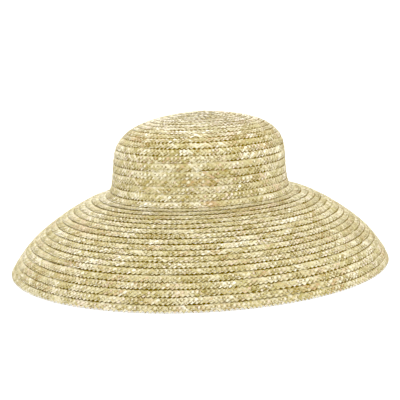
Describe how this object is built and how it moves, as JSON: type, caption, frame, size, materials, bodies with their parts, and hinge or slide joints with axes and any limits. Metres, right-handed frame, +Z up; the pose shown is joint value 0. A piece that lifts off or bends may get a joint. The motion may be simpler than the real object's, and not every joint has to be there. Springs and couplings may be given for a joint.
{
  "type": "straw hat",
  "caption": "Wide-brimmed straw hat: a low domed crown and a broad, down-turned, bell-shaped brim, made of flat straw plait sewn in a spiral.",
  "frame": {"origin": "on the ground under the middle of the rim, which the hat rests on", "axes": "+Z up through the crown, -Y the front, +X the wearer's left, the side that the crown leans to"},
  "size_m": [0.394, 0.4054, 0.1577],
  "materials": {
    "crown_straw": "flat wheat straw plait, pale gold with lighter and browner straws, a soft gloss",
    "brim_straw": "flat wheat straw plait, pale gold with lighter and browner straws, a soft gloss"
  },
  "bodies": {
    "root": {"crown": "crown_straw", "brim": "brim_straw"}
  },
  "joints": []
}
